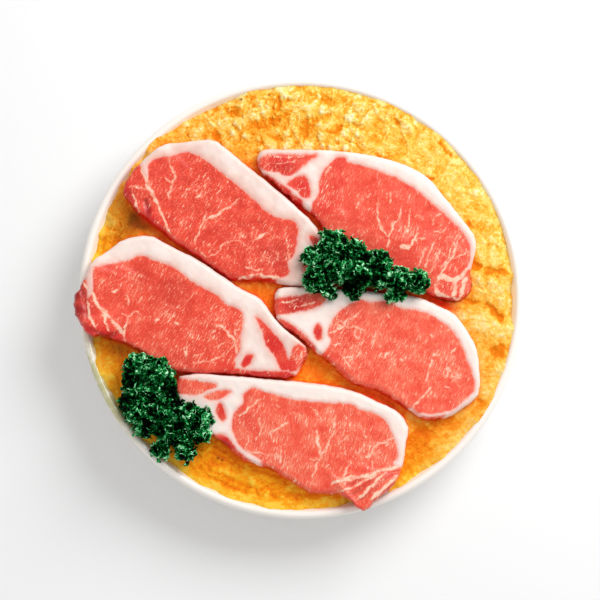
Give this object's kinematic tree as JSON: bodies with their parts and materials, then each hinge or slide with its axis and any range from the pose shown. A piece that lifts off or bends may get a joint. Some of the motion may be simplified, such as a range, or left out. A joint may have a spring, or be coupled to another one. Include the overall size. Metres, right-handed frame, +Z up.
{
  "type": "miso-marinated pork",
  "caption": "Raw boneless pork loin slices marinating on a bed of coarse yellow miso paste in a round white dish, with bunches of curly parsley.",
  "frame": {"origin": "centre of the dish's flat underside, on the surface it stands on", "axes": "+Z up, +Y towards the far side of the dish as it is served, +X to its right"},
  "size_m": [0.2821, 0.2798, 0.0591],
  "materials": {
    "porcelain": "white glossy glaze",
    "miso": "moist coarse paste, light yellow crumbs to orange",
    "pork": "moist raw lean with white fat and fine marbling",
    "parsley": "crisp dark green leaf with a slight wax sheen"
  },
  "bodies": {
    "root": {"dish": "porcelain", "miso_paste": "miso", "slice_far_left": "pork", "slice_far_right": "pork", "slice_left": "pork", "slice_right": "pork", "slice_near": "pork", "parsley_middle": "parsley", "parsley_left": "parsley"}
  },
  "joints": []
}
